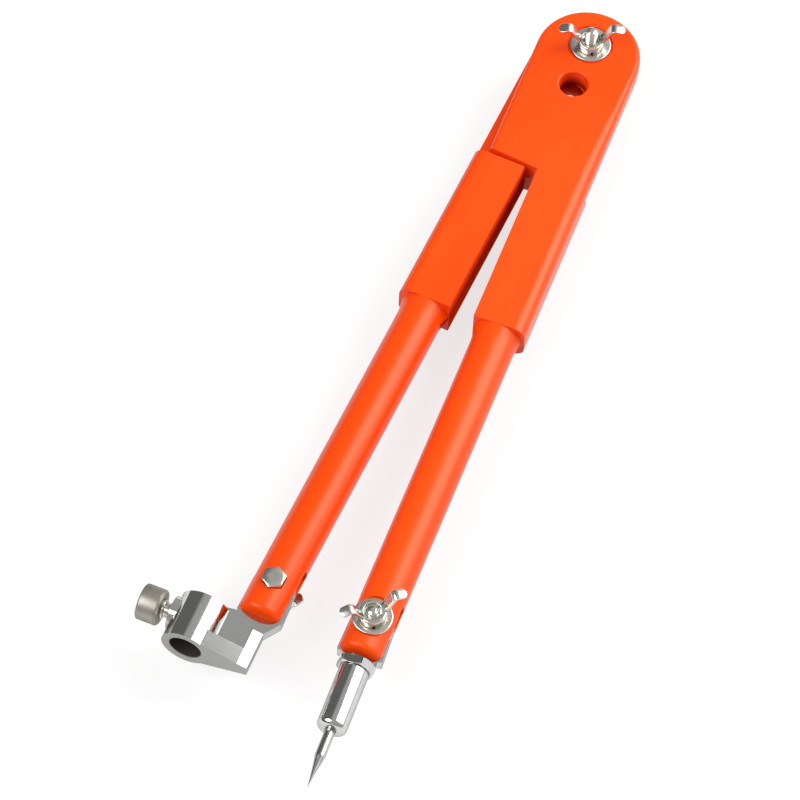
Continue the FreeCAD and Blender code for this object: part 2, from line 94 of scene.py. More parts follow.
class Shader:
    """The node tree of a material, or of the world, under construction."""

    # Roughness of the painted shade, the depth at which it is fully matt, and where its colour starts to darken.
    matt_roughness = 0.9
    fully_matt = 0.45
    darker_from = 0.3

    def __init__(self, name: str, world: bpy.types.World | None = None) -> None:
        """Start an empty node tree.

        Args:
            name: the material's name.
            world: the world that the tree belongs to, if it isn't a new material's.
        """
        self.material = world or bpy.data.materials.new(name)
        self.material.use_nodes = True
        self.tree = self.material.node_tree
        self.tree.nodes.clear()

    def node(self, kind: str, settings: dict | None = None, inputs: dict | None = None,
             output: int | str = 0) -> Value:
        """Add one node.

        Args:
            kind: the node's type.
            settings: its properties, set first.
            inputs: values or links of its sockets, by name or number.
            output: which output the returned value stands for.

        Returns:
            The chosen output.
        """
        made = self.tree.nodes.new(kind)
        for key, value in (settings or {}).items():
            setattr(made, key, value)
        for key, value in (inputs or {}).items():
            if isinstance(value, Value):
                self.tree.links.new(value.socket, made.inputs[key])
            else:
                made.inputs[key].default_value = value
        return Value(self, made.outputs[output] if len(made.outputs) else None)

    def place(self, stretch: tuple[float, float, float] = (1.0, 1.0, 1.0)) -> Value:
        """Object coordinates, stretched on each axis."""
        raw = self.node("ShaderNodeTexCoord", output="Object")
        return self.node("ShaderNodeMapping", {}, {"Vector": raw, "Scale": stretch})

    def noise(self, where: Value, scale: float, detail: float = 3.0,
              roughness: float = 0.5) -> Value:
        """Noise between 0 and 1."""
        return self.node("ShaderNodeTexNoise", {}, {
            "Vector": where, "Scale": scale, "Detail": detail, "Roughness": roughness}, "Fac")

    def ramp(self, factor: Value, low: float, high: float) -> Value:
        """Smooth step of a value from 0 at low to 1 at high."""
        return self.node("ShaderNodeMapRange", {"interpolation_type": "SMOOTHSTEP"}, {
            "Value": factor, "From Min": low, "From Max": high})

    def blend(self, factor: Value, first: "tuple | Value", second: "tuple | Value") -> Value:
        """Mix of two colours.

        Args:
            factor: share of the second colour.
            first: colour at 0.
            second: colour at 1.

        Returns:
            The mixed colour.
        """
        inputs: dict = {0: factor}
        for key, colour in ((6, first), (7, second)):
            inputs[key] = colour if isinstance(colour, Value) else (*colour, 1.0)
        return self.node("ShaderNodeMix", {"data_type": "RGBA"}, inputs, 2)

    def bump(self, height: Value, strength: float, distance: float,
             normal: Value | None = None) -> Value:
        """Bumped normal from a height.

        Args:
            height: height over the surface.
            strength: share of it that is used.
            distance: how far a height of 1 stands out, in metres.
            normal: normal to start from, if it isn't the surface's own.

        Returns:
            The bumped normal.
        """
        inputs: dict = {"Height": height, "Strength": strength, "Distance": distance}
        if normal is not None:
            inputs["Normal"] = normal
        return self.node("ShaderNodeBump", {}, inputs, "Normal")

    def finish(self, inputs: dict, shallow: "tuple | Value", deep: tuple) -> bpy.types.Material:
        """Close the tree with a Principled shader that turns to painted shade, dark and matt, in hidden places.

        Args:
            inputs: the shader's sockets.
            shallow: matt colour of the painted shade where a place lies little hidden.
            deep: matt colour of the painted shade where a place lies fully hidden.

        Returns:
            The finished material.
        """
        # Painted shade: the attribute darkens the colour and makes the surface matt and glossless where shade
        # falls.
        painted_shade_depth = self.node("ShaderNodeAttribute", {"attribute_name": PAINTED_SHADE}, output="Fac")
        hidden = self.blend(self.ramp(painted_shade_depth, self.darker_from, 1.0), shallow, deep)
        open_side = self.node("ShaderNodeBsdfPrincipled", {}, inputs)
        matt = self.node("ShaderNodeBsdfPrincipled", {}, {
            "Base Color": hidden, "Roughness": self.matt_roughness, "Specular IOR Level": 0.0})
        surface = self.node("ShaderNodeMixShader", {}, {
            0: self.ramp(painted_shade_depth, 0.0, self.fully_matt), 1: open_side, 2: matt})
        self.node("ShaderNodeOutputMaterial", {}, {"Surface": surface})
        return self.material


# Finishes -----------------------------------------------------------------------

@dataclass(frozen=True)
class OrangePlastic:
    """Semi-gloss moulded plastic with a faint flow mottle and fine spark texture."""

    body: tuple[float, float, float] = (0.94, 0.067, 0.002)
    pale: tuple[float, float, float] = (0.96, 0.082, 0.005)
    # Colour of the painted shade deep in holes, on inner flanks and on the leg ends.
    deep: tuple[float, float, float] = (0.24, 0.013, 0.006)
    gloss_tint: tuple[float, float, float] = (1.0, 0.88, 0.66)
    gloss: float = 0.42
    refraction: float = 1.46
    roughness: float = 0.30
    flow_scale: float = 26.0
    flow_stretch: tuple[float, float, float] = (1.0, 0.35, 1.0)
    flow_fade: tuple[float, float] = (0.35, 0.7)
    flow_roughness: float = 0.10
    speck_scale: float = 900.0
    speck_fade: tuple[float, float] = (0.66, 0.74)
    speck_roughness: float = 0.05
    grain_scale: float = 2600.0
    grain_roughness: float = 0.05
    grain: float = 0.10
    grain_height: float = 0.00002
    sink_scale: float = 60.0
    sink: float = 0.08
    sink_height: float = 0.0004
    noise_middle: float = 0.5

    def build(self) -> bpy.types.Material:
        """Make the material.

        Returns:
            The material.
        """
        shader = Shader("orange plastic")
        where = shader.place()
        flow = shader.noise(shader.place(self.flow_stretch), self.flow_scale, detail=4.0,
                            roughness=0.55)
        grain = shader.noise(where, self.grain_scale, detail=2.0)
        specks = shader.ramp(shader.noise(where, self.speck_scale, detail=1.0), *self.speck_fade)
        moulded = shader.blend(shader.ramp(flow, *self.flow_fade), self.body, self.pale)
        rough = (self.roughness + self.flow_roughness * (flow - self.noise_middle)
                 + self.speck_roughness * specks
                 + self.grain_roughness * (grain - self.noise_middle))
        hollows = shader.noise(where, self.sink_scale, detail=2.0)
        sunk = shader.bump(hollows, self.sink, self.sink_height)
        normal = shader.bump(grain, self.grain, self.grain_height, sunk)
        return shader.finish({
            "Base Color": moulded, "Roughness": rough, "Normal": normal, "IOR": self.refraction,
            "Specular IOR Level": self.gloss, "Specular Tint": (*self.gloss_tint, 1.0)},
            moulded, self.deep)


@dataclass(frozen=True)
class PlatedMetal:
    """Plated metal: tone, gloss and the marks that its making left."""

    name: str
    tone: tuple[float, float, float]
    stain: tuple[float, float, float]
    roughness: float
    smudge: float
    ripple: float
    ripple_scale: float
    grain: float
    grain_scale: float
    grain_stretch: tuple[float, float, float] = (1.0, 1.0, 1.0)
    ripple_height: float = 0.0003
    grain_height: float = 0.00002
    cloud_scale: float = 120.0
    cloud_fade: tuple[float, float] = (0.4, 0.75)
    cloud_stain: float = 0.6
    cloud_middle: float = 0.45
    spot_scale: float = 420.0
    spot_fade: tuple[float, float] = (0.55, 0.72)
    spot_stain: float = 0.25
    spot_smudge: float = 0.5
    # Colours of the painted shade, where it starts and where it is deepest.
    painted_shade_pale: tuple[float, float, float] = (0.40, 0.40, 0.39)
    painted_shade_dark: tuple[float, float, float] = (0.055, 0.045, 0.040)
    edge_tint: tuple[float, float, float] = (0.5, 0.5, 0.5)

    def build(self) -> bpy.types.Material:
        """Make the material.

        Returns:
            The material.
        """
        shader = Shader(self.name)
        where = shader.place()
        cloud = shader.noise(where, self.cloud_scale, detail=4.0, roughness=0.6)
        spots = shader.ramp(shader.noise(where, self.spot_scale, roughness=0.6),
                            *self.spot_fade)
        grain = shader.noise(shader.place(self.grain_stretch), self.grain_scale,
                             roughness=0.6)
        ripple = shader.noise(where, self.ripple_scale, detail=2.0, roughness=0.4)
        stained = shader.ramp(cloud, *self.cloud_fade) * self.cloud_stain + self.spot_stain * spots
        plated = shader.blend(stained, self.tone, self.stain)
        rough = (self.roughness + self.smudge * (cloud - self.cloud_middle)
                 + self.spot_smudge * self.smudge * spots)
        wavy = shader.bump(ripple, self.ripple, self.ripple_height)
        normal = shader.bump(grain, self.grain, self.grain_height, wavy)
        return shader.finish({
            "Base Color": plated, "Metallic": 1.0, "Roughness": rough, "Normal": normal,
            "Specular Tint": (*self.edge_tint, 1.0)}, self.painted_shade_pale, self.painted_shade_dark)


class Finish(Enum):
    """The finishes, by the record's slot names."""

    ORANGE_PLASTIC = "orange_plastic"
    CHROME_CASTING = "chrome_casting"
    ZINC_STEEL = "zinc_steel"
    NICKEL_KNOB = "nickel_knob"
    NEEDLE_STEEL = "needle_steel"


FINISH_RECIPES: dict[Finish, OrangePlastic | PlatedMetal] = {
    Finish.ORANGE_PLASTIC: OrangePlastic(),
    Finish.CHROME_CASTING: PlatedMetal(
        "chrome casting", tone=(0.66, 0.665, 0.66), stain=(0.58, 0.572, 0.555),
        roughness=0.10, smudge=0.05, ripple=0.10, ripple_scale=90.0,
        grain=0.05, grain_scale=1500.0),
    Finish.ZINC_STEEL: PlatedMetal(
        "zinc plated steel", tone=(0.80, 0.785, 0.73), stain=(0.62, 0.60, 0.53),
        roughness=0.20, smudge=0.12, ripple=0.20, ripple_scale=300.0,
        grain=0.20, grain_scale=2600.0),
    Finish.NICKEL_KNOB: PlatedMetal(
        "satin nickel", tone=(0.40, 0.38, 0.335), stain=(0.27, 0.25, 0.21),
        roughness=0.44, smudge=0.10, ripple=0.10, ripple_scale=200.0,
        grain=0.35, grain_scale=1800.0, grain_stretch=(6.0, 0.4, 0.4)),
    Finish.NEEDLE_STEEL: PlatedMetal(
        "ground needle steel", tone=(0.56, 0.56, 0.55), stain=(0.42, 0.41, 0.39),
        roughness=0.16, smudge=0.08, ripple=0.05, ripple_scale=200.0,
        grain=0.25, grain_scale=2200.0, grain_stretch=(0.3, 5.0, 0.3)),
}


class Paintbox:
    """Builds each finish once and puts it on pieces."""

    def __init__(self) -> None:
        """Build every finish."""
        self.materials = {finish: recipe.build() for finish, recipe in FINISH_RECIPES.items()}

    def dress(self, piece: bpy.types.Object, finish: Finish, body: str, *nodes: str) -> None:
        """Give a new piece its finish, its body and the nodes that it stands for.

        Args:
            piece: the new piece.
            finish: its finish.
            body: the body that it rides on.
            nodes: CAD nodes that it replaces.
        """
        piece.data.materials.clear()
        piece.data.materials.append(self.materials[finish])
        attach(piece, body)
        if nodes:
            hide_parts(*nodes)
        LOG.info("%s rides on %s, %d faces", piece.name, body, len(piece.data.polygons))


# Mesh building ------------------------------------------------------------------

@dataclass(frozen=True)
class Placement:
    """Where a piece's own millimetre axes lie in the frame."""

    matrix: Matrix

    @staticmethod
    def at(origin: Vector, along: Vector, across: Vector) -> "Placement":
        """Placement from an origin in metres and two of its own directions.

        Args:
            origin: where the own origin lies.
            along: direction of the own Z axis.
            across: direction of the own X axis.

        Returns:
            The placement.
        """
        z_axis = along.normalized()
        x_axis = (across - z_axis * across.dot(z_axis)).normalized()
        y_axis = z_axis.cross(x_axis)
        turn = Matrix((x_axis, y_axis, z_axis)).transposed().to_4x4()
        return Placement(Matrix.Translation(origin) @ turn @ Matrix.Scale(MM, 4))


def smooth_by_angle(mesh: bpy.types.Mesh, degrees: float) -> None:
    """Shade a mesh smooth, with edges sharper than an angle kept crisp.

    Args:
        mesh: the mesh, changed in place.
        degrees: the angle.
    """
    mesh.shade_smooth()
    limit = math.radians(degrees)
    work = bmesh.new()
    work.from_mesh(mesh)
    for edge in work.edges:
        if edge.is_manifold and edge.calc_face_angle() > limit:
            edge.smooth = False
    work.to_mesh(mesh)
    work.free()


def evaluated_mesh(piece: bpy.types.Object) -> bpy.types.Mesh:
    """The mesh that a piece's modifiers give.

    Args:
        piece: the object that carries them.

    Returns:
        A new mesh.
    """
    piece.update_tag()
    bpy.context.view_layer.update()
    graph = bpy.context.evaluated_depsgraph_get()
    return bpy.data.meshes.new_from_object(piece.evaluated_get(graph))


def apply_modifiers(piece: bpy.types.Object) -> None:
    """Turn a piece's modifiers into plain mesh.

    Args:
        piece: the object, changed in place.
    """
    mesh = evaluated_mesh(piece)
    piece.modifiers.clear()
    piece.data = mesh


def fresh_object(name: str, data: bpy.types.ID) -> bpy.types.Object:
    """A linked object for a mesh, a lamp or a camera.

    Args:
        name: its name.
        data: the mesh, lamp or camera.

    Returns:
        The object, linked to the scene.
    """
    made = bpy.data.objects.new(name, data)
    bpy.context.scene.collection.objects.link(made)
    return made


def is_placed(vertex: bmesh.types.BMVert) -> bool:
    """Whether a vertex has a real place."""
    return all(math.isfinite(number) for number in vertex.co)


def place_lost(mesh: bpy.types.Mesh) -> None:
    """Give a place to the vertices that a bevel leaves undefined where edges almost meet.

    The lost vertices of such a corner all go to the one round them that lies closest to the
    others, so that nothing else moves.

    Args:
        mesh: the mesh, changed in place.
    """
    work = bmesh.new()
    work.from_mesh(mesh)
    lost = {vertex for vertex in work.verts if not is_placed(vertex)}
    while lost:
        corner, around, waiting = [], set(), [lost.pop()]
        while waiting:
            vertex = waiting.pop()
            corner.append(vertex)
            for other in (edge.other_vert(vertex) for edge in vertex.link_edges):
                if is_placed(other):
                    around.add(other)
                elif other in lost:
                    lost.remove(other)
                    waiting.append(other)
        places = [vertex.co.copy() for vertex in sorted(around, key=lambda one: one.index)]
        middle = min(places, key=lambda place: sum((place - one).length for one in places))
        for vertex in corner:
            vertex.co = middle
    work.to_mesh(mesh)
    work.free()


class MeshMaker:
    """Collects closed forms in a piece's own millimetres and makes one mesh of them."""

    touching = 1e-6

    def __init__(self) -> None:
        """Start with nothing."""
        self.work = bmesh.new()

    def loft(self, rings: list[list[Vector]]) -> None:
        """Skin a row of rings, each of the same number of points, and cap its ends.

        Args:
            rings: the rings in their order.
        """
        rows = [[self.work.verts.new(point) for point in ring] for ring in rings]
        for lower, upper in zip(rows, rows[1:]):
            for index in range(len(lower)):
                after = (index + 1) % len(lower)
                self.work.faces.new([lower[index], lower[after], upper[after], upper[index]])
        for row in (rows[0], rows[-1]):
            self.work.faces.new(row)

    def turned(self, profile: list[tuple[float, float]], segments: int = 96,
               ring: "RingShape | None" = None) -> None:
        """Spin a profile of (height, radius) about the Z axis.

        Args:
            profile: points along the axis; a profile whose ends meet makes a ring with a hole.
            segments: steps round the axis.
            ring: shape of a turn, round where none is given.
        """
        shape = ring or RingShape()
        closed = math.dist(profile[0], profile[-1]) < self.touching
        points = profile[:-1] if closed else profile
        rows = []
        for height, radius in points:
            if radius < self.touching:
                rows.append([self.work.verts.new((0.0, 0.0, height))])
            else:
                rows.append([self.work.verts.new(shape.point(radius, height, step / segments))
                             for step in range(segments)])
        pairs = list(zip(rows, rows[1:]))
        if closed:
            pairs.append((rows[-1], rows[0]))
        for lower, upper in pairs:
            for index in range(segments):
                after = (index + 1) % segments
                corners = []
                for row, place in ((lower, index), (lower, after), (upper, after), (upper, index)):
                    vertex = row[place] if len(row) > 1 else row[0]
                    if vertex not in corners:
                        corners.append(vertex)
                if len(corners) > 2:
                    self.work.faces.new(corners)

    def add(self, mesh: bpy.types.Mesh) -> None:
        """Take in a mesh that is already in these axes."""
        self.work.from_mesh(mesh)

    def build(self, name: str, placement: Placement, crisp_angle: float = 32.0) -> bpy.types.Object:
        """Finish the mesh and place it.

        Args:
            name: the piece's name.
            placement: where its axes lie.
            crisp_angle: edges sharper than this stay crisp.

        Returns:
            The piece, at the origin with its place in its mesh.
        """
        bmesh.ops.recalc_face_normals(self.work, faces=self.work.faces)
        self.work.transform(placement.matrix)
        mesh = bpy.data.meshes.new(name)
        self.work.to_mesh(mesh)
        self.work.free()
        smooth_by_angle(mesh, crisp_angle)
        return fresh_object(name, mesh)


@dataclass(frozen=True)
class RingShape:
    """Section of a turned form: round, or a hexagon whose corners the round form cuts off."""

    flats: float = 0.0
    turn: float = 0.0

    def point(self, radius: float, height: float, share: float) -> Vector:
        """One point of a ring.

        Args:
            radius: the round form's radius, which also limits the hexagon.
            height: place along the axis.
            share: how far round, from 0 to 1.

        Returns:
            The point.
        """
        angle = 2 * math.pi * share
        reach = radius
        if self.flats:
            sector = math.pi / 3
            off_centre = (angle % sector) - sector / 2
            reach = min(radius, self.flats / 2 / math.cos(off_centre))
        turned = angle + self.turn
        return Vector((reach * math.cos(turned), reach * math.sin(turned), height))


def eased(points: list[tuple[float, float, float]],
          steps: int = 5) -> list[tuple[float, float]]:
    """A path with its corners rounded.

    Args:
        points: (x, y, radius) of each corner, where radius 0 keeps it sharp.
        steps: points on each rounded corner.

    Returns:
        The path's points.
    """
    path: list[tuple[float, float]] = []
    for index, (x, y, radius) in enumerate(points):
        if radius <= 0 or index in (0, len(points) - 1):
            path.append((x, y))
            continue
        corner = Vector((x, y))
        before = (Vector(points[index - 1][:2]) - corner).normalized()
        after = (Vector(points[index + 1][:2]) - corner).normalized()
        half = before.angle(after) / 2
        reach = radius / math.tan(half)
        centre = corner + (before + after).normalized() * (radius / math.sin(half))
        start, end = corner + before * reach - centre, corner + after * reach - centre
        sweep = start.angle_signed(end)
        for step in range(steps + 1):
            angle = -sweep * step / steps
            turned = Matrix.Rotation(angle, 2) @ start
            path.append(tuple(centre + turned))
    return path


@dataclass(frozen=True)
class HelixSweep:
    """A bar of four-sided section wound round the Z axis, made by geometry nodes."""

    radius: float
    rise: float
    turns: float
    foot: float
    crest: float
    height: float
    steps: int = 40

    SOCKETS = (("Radius", "NodeSocketFloat"), ("Rise", "NodeSocketFloat"),
               ("Turns", "NodeSocketFloat"), ("Foot Width", "NodeSocketFloat"),
               ("Crest Width", "NodeSocketFloat"), ("Ridge Height", "NodeSocketFloat"),
               ("Steps Per Turn", "NodeSocketInt"), ("Finish", "NodeSocketMaterial"))

    @classmethod
    def tree(cls) -> bpy.types.NodeTree:
        """The node tree, built once.

        Returns:
            The tree, with a named input for each size.
        """
        name = "helix sweep"
        found = bpy.data.node_groups.get(name)
        if found:
            return found
        tree = bpy.data.node_groups.new(name, "GeometryNodeTree")
        for label, kind in cls.SOCKETS:
            tree.interface.new_socket(label, in_out="INPUT", socket_type=kind)
        tree.interface.new_socket("Geometry", in_out="OUTPUT", socket_type="NodeSocketGeometry")
        add, link = tree.nodes.new, tree.links.new
        given, result = add("NodeGroupInput"), add("NodeGroupOutput")
        spiral = add("GeometryNodeCurveSpiral")
        section = add("GeometryNodeCurvePrimitiveQuadrilateral")
        section.mode = "TRAPEZOID"
        section.inputs["Offset"].default_value = 0.0
        turn = add("GeometryNodeTransform")
        turn.inputs["Rotation"].default_value = (0.0, 0.0, math.pi / 2)
        upright = add("GeometryNodeSetCurveNormal")
        upright.mode = "Z_UP"
        sweep = add("GeometryNodeCurveToMesh")
        sweep.inputs["Fill Caps"].default_value = True
        realize = add("GeometryNodeRealizeInstances")
        paint = add("GeometryNodeSetMaterial")
        for source, target in (
                ("Steps Per Turn", spiral.inputs["Resolution"]),
                ("Turns", spiral.inputs["Rotations"]),
                ("Radius", spiral.inputs["Start Radius"]),
                ("Radius", spiral.inputs["End Radius"]),
                ("Rise", spiral.inputs["Height"]),
                ("Foot Width", section.inputs["Bottom Width"]),
                ("Crest Width", section.inputs["Top Width"]),
                ("Ridge Height", section.inputs["Height"]),
                ("Finish", paint.inputs["Material"])):
            link(given.outputs[source], target)
        link(spiral.outputs[0], upright.inputs["Curve"])
        link(section.outputs[0], turn.inputs["Geometry"])
        link(upright.outputs[0], sweep.inputs["Curve"])
        link(turn.outputs[0], sweep.inputs["Profile Curve"])
        link(sweep.outputs[0], realize.inputs[0])
        link(realize.outputs[0], paint.inputs["Geometry"])
        link(paint.outputs[0], result.inputs[0])
        return tree

    def mesh(self) -> bpy.types.Mesh:
        """The wound bar, rising from height 0.

        Returns:
            A plain mesh, in millimetres.
        """
        return run_nodes(self.tree(), {
            "Radius": self.radius, "Rise": self.rise, "Turns": self.turns,
            "Foot Width": self.foot, "Crest Width": self.crest, "Ridge Height": self.height,
            "Steps Per Turn": self.steps})


def run_nodes(tree: bpy.types.NodeTree, values: dict) -> bpy.types.Mesh:
    """The mesh that a geometry node tree makes.

    Args:
        tree: the node tree.
        values: its named inputs.

    Returns:
        A plain mesh.
    """
    holder = fresh_object("nodes", bpy.data.meshes.new("nodes"))
    modifier = holder.modifiers.new("nodes", "NODES")
    modifier.node_group = tree
    for item in tree.interface.items_tree:
        if item.in_out == "INPUT" and item.name in values:
            modifier[item.identifier] = values[item.name]
    mesh = evaluated_mesh(holder)
    bpy.data.objects.remove(holder)
    return mesh


# Frame lookups ------------------------------------------------------------------

def joint(name: str) -> dict:
    """One joint of the frame, by name."""
    return next(entry for entry in frame["joints"] if entry["name"] == name)


def mount(name: str) -> dict:
    """One mount of the frame, by name."""
    return next(entry for entry in frame["record"]["mounts"] if entry["name"] == name)


# Painted shade in hidden places --------------------------------------------------

@dataclass(frozen=True)
class Hole:
    """A hole whose wall gets painted shade, darker inwards from its mouths, alike at both ends."""

    centre: Vector
    axis: Vector
    radius: float
    mouth: float
    fade: float
    wall_limit: float = 0.9

    def depth(self, point: Vector, normal: Vector) -> float:
        """How far in a point of the hole's wall lies.

        Args:
            point: the point, in metres.
            normal: where the surface faces there.

        Returns:
            The depth from 0 to 1, and 0 off the wall.
        """
        offset = (point - self.centre) / MM
        along = offset.dot(self.axis)
        across = (offset - self.axis * along).length
        if across > self.radius or abs(normal.dot(self.axis)) > self.wall_limit:
            return 0.0
        return min(max((self.mouth - abs(along)) / self.fade, 0.0), 1.0)


@dataclass(frozen=True)
class TurnedAway:
    """Painted shade on faces turned one way, away from the light, between two places along Y."""

    way: Vector
    low: float
    high: float
    edge: float
    middle: float
    reach: float = 1000.0
    first_cosine: float = 0.35
    cosine_span: float = 0.6

    def depth(self, point: Vector, normal: Vector) -> float:
        """How much painted shade a point gets, the middle of the thickness being darkest.

        Args:
            point: the point, in metres.
            normal: where the surface faces there.

        Returns:
            The depth from 0 to 1.
        """
        beyond = abs(point.dot(self.way)) / MM > self.reach
        if beyond or not self.low < point.y / MM < self.high:
            return 0.0
        share = min(max((normal.dot(self.way) - self.first_cosine) / self.cosine_span, 0.0), 1.0)
        return share * (self.middle if abs(point.z) < MM else self.edge)


# Sub-assemblies -----------------------------------------------------------------

@dataclass
class SoftenedNode:
    """A CAD solid's own form with its edges broken, as a moulding or casting has them."""

    node: str
    finish: Finish
    edge: float
    shades: tuple[Hole | TurnedAway, ...] = ()
    cut: tuple[Vector, Vector] = (Vector((0, 0, 0)), Vector((0, 0, 1)))
    bevel_steps: int = 3
    bevel_angle: float = 28.0
    weld: float = 0.001
    flat_angle: float = 0.05
    flat_weight: int = 100

    def clean_copy(self) -> bpy.types.Mesh:
        """The node's mesh without its doubles and flat seams, cut once across.

        Returns:
            A new mesh, in metres as the node's is.
        """
        work = bmesh.new()
        work.from_mesh(frame["nodes"][self.node].data)
        bmesh.ops.remove_doubles(work, verts=work.verts, dist=self.weld * MM)
        bmesh.ops.dissolve_limit(work, angle_limit=math.radians(self.flat_angle),
                                 verts=work.verts, edges=work.edges)
        place, way = self.cut
        bmesh.ops.bisect_plane(work, geom=work.verts[:] + work.edges[:] + work.faces[:],
                               plane_co=place, plane_no=way)
        mesh = bpy.data.meshes.new(self.node)
        work.to_mesh(mesh)
        work.free()
        mesh.shade_smooth()
        return mesh

    def shade(self, mesh: bpy.types.Mesh) -> None:
        """Leave the mesh as its modifiers shade it, unless a kind of casting says otherwise."""

    def mark_painted_shade(self, mesh: bpy.types.Mesh) -> None:
        """Write how much shade is painted on each face corner, for the finish to read.

        Args:
            mesh: the finished mesh, which gets the attribute.
        """
        layer = mesh.attributes.new(PAINTED_SHADE, "FLOAT", "CORNER")
        for loop, corner, item in zip(mesh.loops, mesh.corner_normals, layer.data):
            point = mesh.vertices[loop.vertex_index].co
            item.value = max((shade.depth(point, corner.vector) for shade in self.shades),
                             default=0.0)

    def build(self, paints: Paintbox) -> None:
        """Copy the node's mesh, round its edges, shade it and dress it.

        Args:
            paints: the finishes.
        """
        piece = fresh_object(f"{self.node}_body", self.clean_copy())
        bevel = piece.modifiers.new("edge", "BEVEL")
        bevel.width = self.edge * MM
        bevel.segments = self.bevel_steps
        bevel.limit_method = "ANGLE"
        bevel.angle_limit = math.radians(self.bevel_angle)
        apply_modifiers(piece)
        place_lost(piece.data)
        weigh = piece.modifiers.new("flat faces", "WEIGHTED_NORMAL")
        weigh.keep_sharp = True
        weigh.weight = self.flat_weight
        apply_modifiers(piece)
        self.shade(piece.data)
        self.mark_painted_shade(piece.data)
        paints.dress(piece, self.finish, self.node, self.node)


@dataclass
class Legs:
    """The two legs, which are one moulding used twice, the second turned over."""

    edge: float = 0.35
    # Where shade is painted on each leg: the hang hole's wall, the shoulder's inner flank and the leg's end, and
    # how dark.
    hang_radius: float = 5.7
    hang_mouth: float = 7.9
    hang_fade: float = 6.0
    crotch: float = -41.0
    shoulder_end: float = -118.0
    flank_edge: float = 0.38
    flank_middle: float = 0.74
    flank_reach: float = 5.0
    end_top: float = -240.0
    end_low: float = -280.0
    end_painted_shade: float = 0.36

    def build(self, paints: Paintbox) -> None:
        """Build both legs, each with painted shade on its hang hole, inner flank and end.

        Args:
            paints: the finishes.
        """
        hinge = joint("leg_hinge")
        pivot = Vector(hinge["pos_m"])
        straight = Matrix.Identity(3)
        # At rest the pencil leg stands open by as much as its hinge can close.
        spread = Matrix.Rotation(math.radians(hinge["range_deg"][0]), 3, "Z")
        for name, side, turn in (("needle_leg", -1, straight), ("pencil_leg", 1, spread)):
            # Painted shade for the hang hole, the inner flank and the end of this leg.
            hang = Hole(pivot + turn @ -pivot, UP, self.hang_radius, self.hang_mouth,
                        self.hang_fade)
            flank = TurnedAway(turn @ Vector((side, 0, 0)), self.shoulder_end, self.crotch,
                               self.flank_edge, self.flank_middle, self.flank_reach)
            end = TurnedAway(turn @ Vector((0, -1, 0)), self.end_low, self.end_top,
                             self.end_painted_shade, self.end_painted_shade)
            SoftenedNode(name, Finish.ORANGE_PLASTIC, self.edge, (hang, flank, end)).build(paints)


@dataclass
class PencilHolder(SoftenedNode):
    """The pencil clamp's casting: large faces shade flat, and the rim as if it leaned out."""

    node: str = "pencil_holder"
    finish: Finish = Finish.CHROME_CASTING
    edge: float = 0.35
    # Painted shade in the pencil bore and on the faces that turn down the bore.
    bore_radius: float = 6.15
    bore_mouth: float = 9.6
    bore_fade: float = 0.6
    foot_top: float = -270.0
    foot_low: float = -300.0
    foot_painted_shade: float = 0.26
    rim_corner: tuple[float, float, float] = (-29.15, -268.0, 0.0)
    rim_slope: tuple[float, float] = (0.2, 0.5)
    rim_lean: float = 5.0
    flat_area: float = 20.0
    near_angle: float = 14.0

    def __post_init__(self) -> None:
        """Set the places of painted shade and the cut through the rim by the pencil bore's mount."""
        bore = mount("pencil_bore")
        down = Vector(bore["axis"])
        self.shades = (
            Hole(Vector(bore["pos_m"]), down, self.bore_radius, self.bore_mouth, self.bore_fade),
            TurnedAway(down, self.foot_low, self.foot_top, self.foot_painted_shade, self.foot_painted_shade))
        self.cut = (Vector(self.rim_corner) * MM, down.cross(UP))

    def shade(self, mesh: bpy.types.Mesh) -> None:
        """Shade large faces flat, and the sloping rim's free side as if it leaned out.

        Args:
            mesh: the mesh with its edges rounded, changed in place.
        """
        free_side = self.cut[0].x
        lean = Matrix.Rotation(math.radians(self.rim_lean), 3, "Y")
        near = math.cos(math.radians(self.near_angle))
        normals = [corner.vector.copy() for corner in mesh.corner_normals]
        flats: dict[int, Vector] = {}
        own = set()
        for polygon in mesh.polygons:
            if polygon.area <= self.flat_area * MM ** 2:
                continue
            slopes = self.rim_slope[0] < polygon.normal.x < self.rim_slope[1]
            leans = slopes and polygon.center.x > free_side
            way = lean @ polygon.normal if leans else polygon.normal.copy()
            for corner, index in zip(polygon.loop_indices, polygon.vertices):
                flats[index] = normals[corner] = way
                own.add(corner)
        for loop in mesh.loops:
            way = flats.get(loop.vertex_index)
            if way and loop.index not in own and way.dot(normals[loop.index]) > near:
                normals[loop.index] = way
        mesh.normals_split_custom_set(normals)


@dataclass(frozen=True)
class StripLine:
    """Centre line of a bent strip, with the length that each of its points lies at."""

    points: list[tuple[float, float]]
    lengths: list[float]

    touching = 1e-9

    @staticmethod
    def through(points: list[tuple[float, float]]) -> "StripLine":
        """The line through a row of points.

        Args:
            points: the points in their order.

        Returns:
            The line.
        """
        lengths = [0.0]
        for first, second in zip(points, points[1:]):
            lengths.append(lengths[-1] + math.dist(first, second))
        return StripLine(points, lengths)

    def at(self, place: float) -> Vector:
        """The point at a length along the line.

        Args:
            place: the length, kept between the line's two ends.

        Returns:
            The point.
        """
        place = min(max(place, 0.0), self.lengths[-1])
        limit = place + self.touching
        index = max(i for i, length in enumerate(self.lengths[:-1]) if length <= limit)
        share = (place - self.lengths[index]) / (self.lengths[index + 1] - self.lengths[index])
        return Vector(self.points[index]).lerp(Vector(self.points[index + 1]), share)

    def heading(self, place: float, span: float = 0.2) -> Vector:
        """Direction at a length along the line, averaged over a short span each way."""
        return (self.at(place + span) - self.at(place - span)).normalized()


